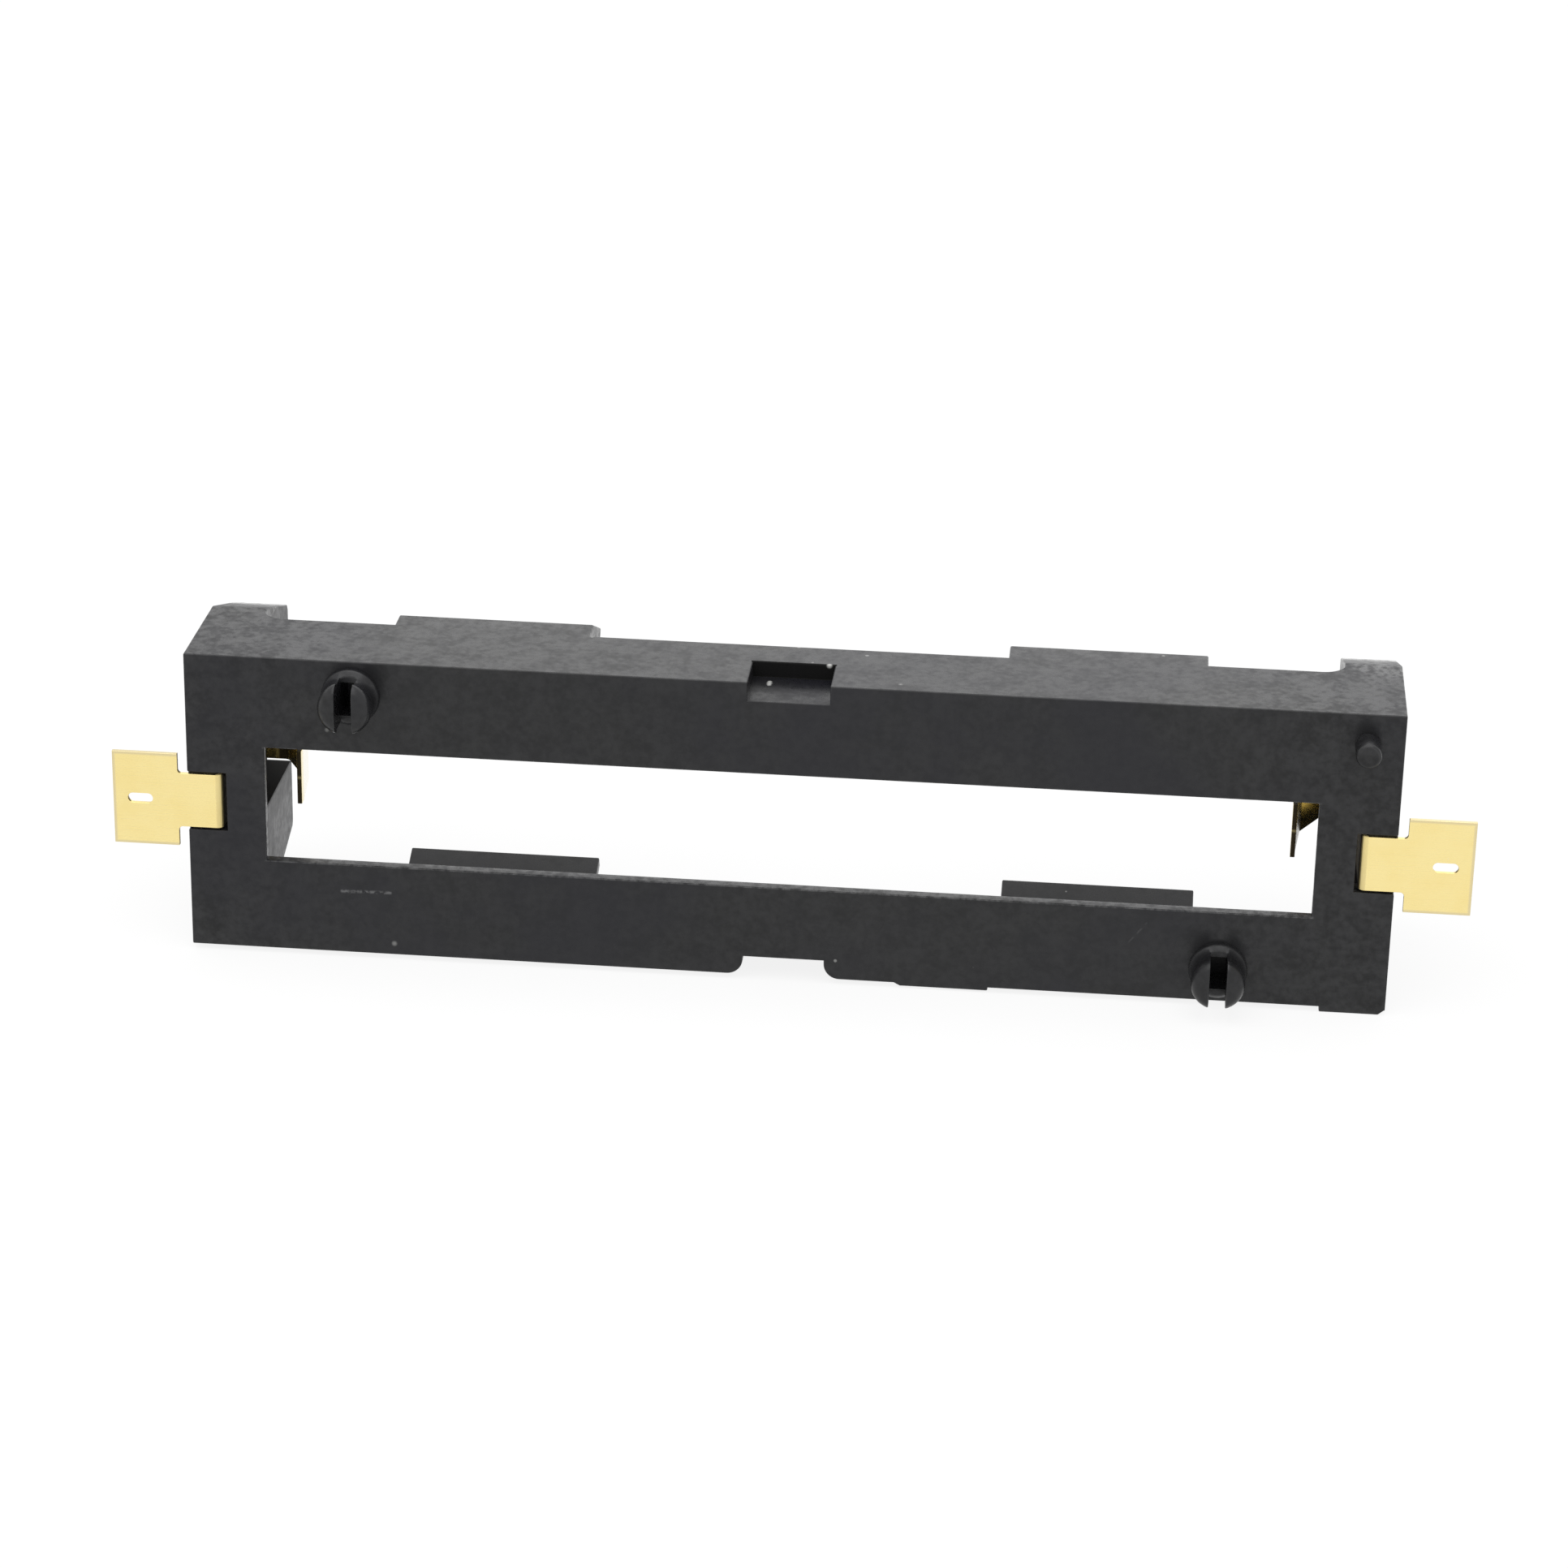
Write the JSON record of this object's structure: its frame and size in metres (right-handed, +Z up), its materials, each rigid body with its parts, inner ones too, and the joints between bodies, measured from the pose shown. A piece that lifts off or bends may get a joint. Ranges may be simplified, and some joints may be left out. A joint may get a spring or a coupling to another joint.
{
  "type": "battery holder",
  "caption": "Open moulded holder that clips a round cell into a cradle between sprung sheet-metal end contacts, with flat solder tabs and split locating pegs underneath.",
  "frame": {"origin": "middle of the underside, on the plane that rests on the circuit board", "axes": "+X along the cell towards the keyed end, +Z up off the board, +Y across the holder"},
  "size_m": [0.0862, 0.0204, 0.0184],
  "materials": {
    "black_plastic": "fine matt moulded",
    "gold_plate": "satin gold plating"
  },
  "bodies": {
    "root": {"housing": "black_plastic", "positive_contact": "gold_plate", "negative_contact": "gold_plate"}
  },
  "joints": []
}
